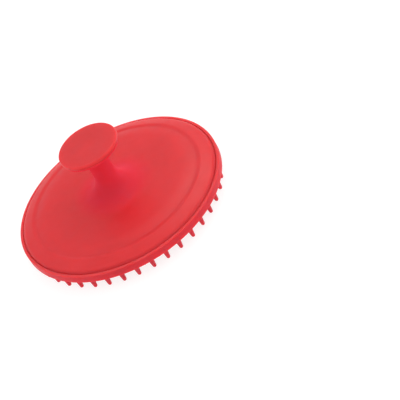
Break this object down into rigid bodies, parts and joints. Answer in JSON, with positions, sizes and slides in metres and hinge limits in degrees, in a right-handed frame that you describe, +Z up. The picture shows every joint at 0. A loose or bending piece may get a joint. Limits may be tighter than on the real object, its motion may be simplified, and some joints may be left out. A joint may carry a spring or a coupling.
{
  "type": "scalp massager brush",
  "caption": "Round hand brush for massaging the scalp, with rings of short tapered bristles, a shallow domed back, a slim flared neck and a flat round knob that turns.",
  "frame": {"origin": "on the brush's axis, in the plane of the bristle tips that it stands on", "axes": "+Z up along the axis, from the bristle tips through the knob; +X through the first bristle of the outer ring"},
  "size_m": [0.09, 0.09, 0.0371],
  "materials": {
    "knob_plastic": "satin moulded red plastic",
    "shell_plastic": "satin moulded red plastic",
    "plate_plastic": "satin moulded red plastic",
    "bristle_plastic": "slightly translucent moulded red plastic"
  },
  "bodies": {
    "head": {"back_shell": "shell_plastic", "bristle_plate": "plate_plastic", "bristle_ring_01": "bristle_plastic", "bristle_ring_02": "bristle_plastic", "bristle_ring_03": "bristle_plastic", "bristle_ring_04": "bristle_plastic", "bristle_ring_05": "bristle_plastic", "bristle_ring_06": "bristle_plastic", "bristle_ring_07": "bristle_plastic", "bristle_ring_08": "bristle_plastic", "bristle_ring_09": "bristle_plastic", "bristle_ring_10": "bristle_plastic"},
    "knob": {"knob_cap": "knob_plastic"}
  },
  "joints": [
    {"name": "knob_turn", "type": "hinge", "parent": "head", "child": "knob", "pos_m": [0, 0, 0.0351], "axis": [0, 0, 1], "continuous": true}
  ]
}
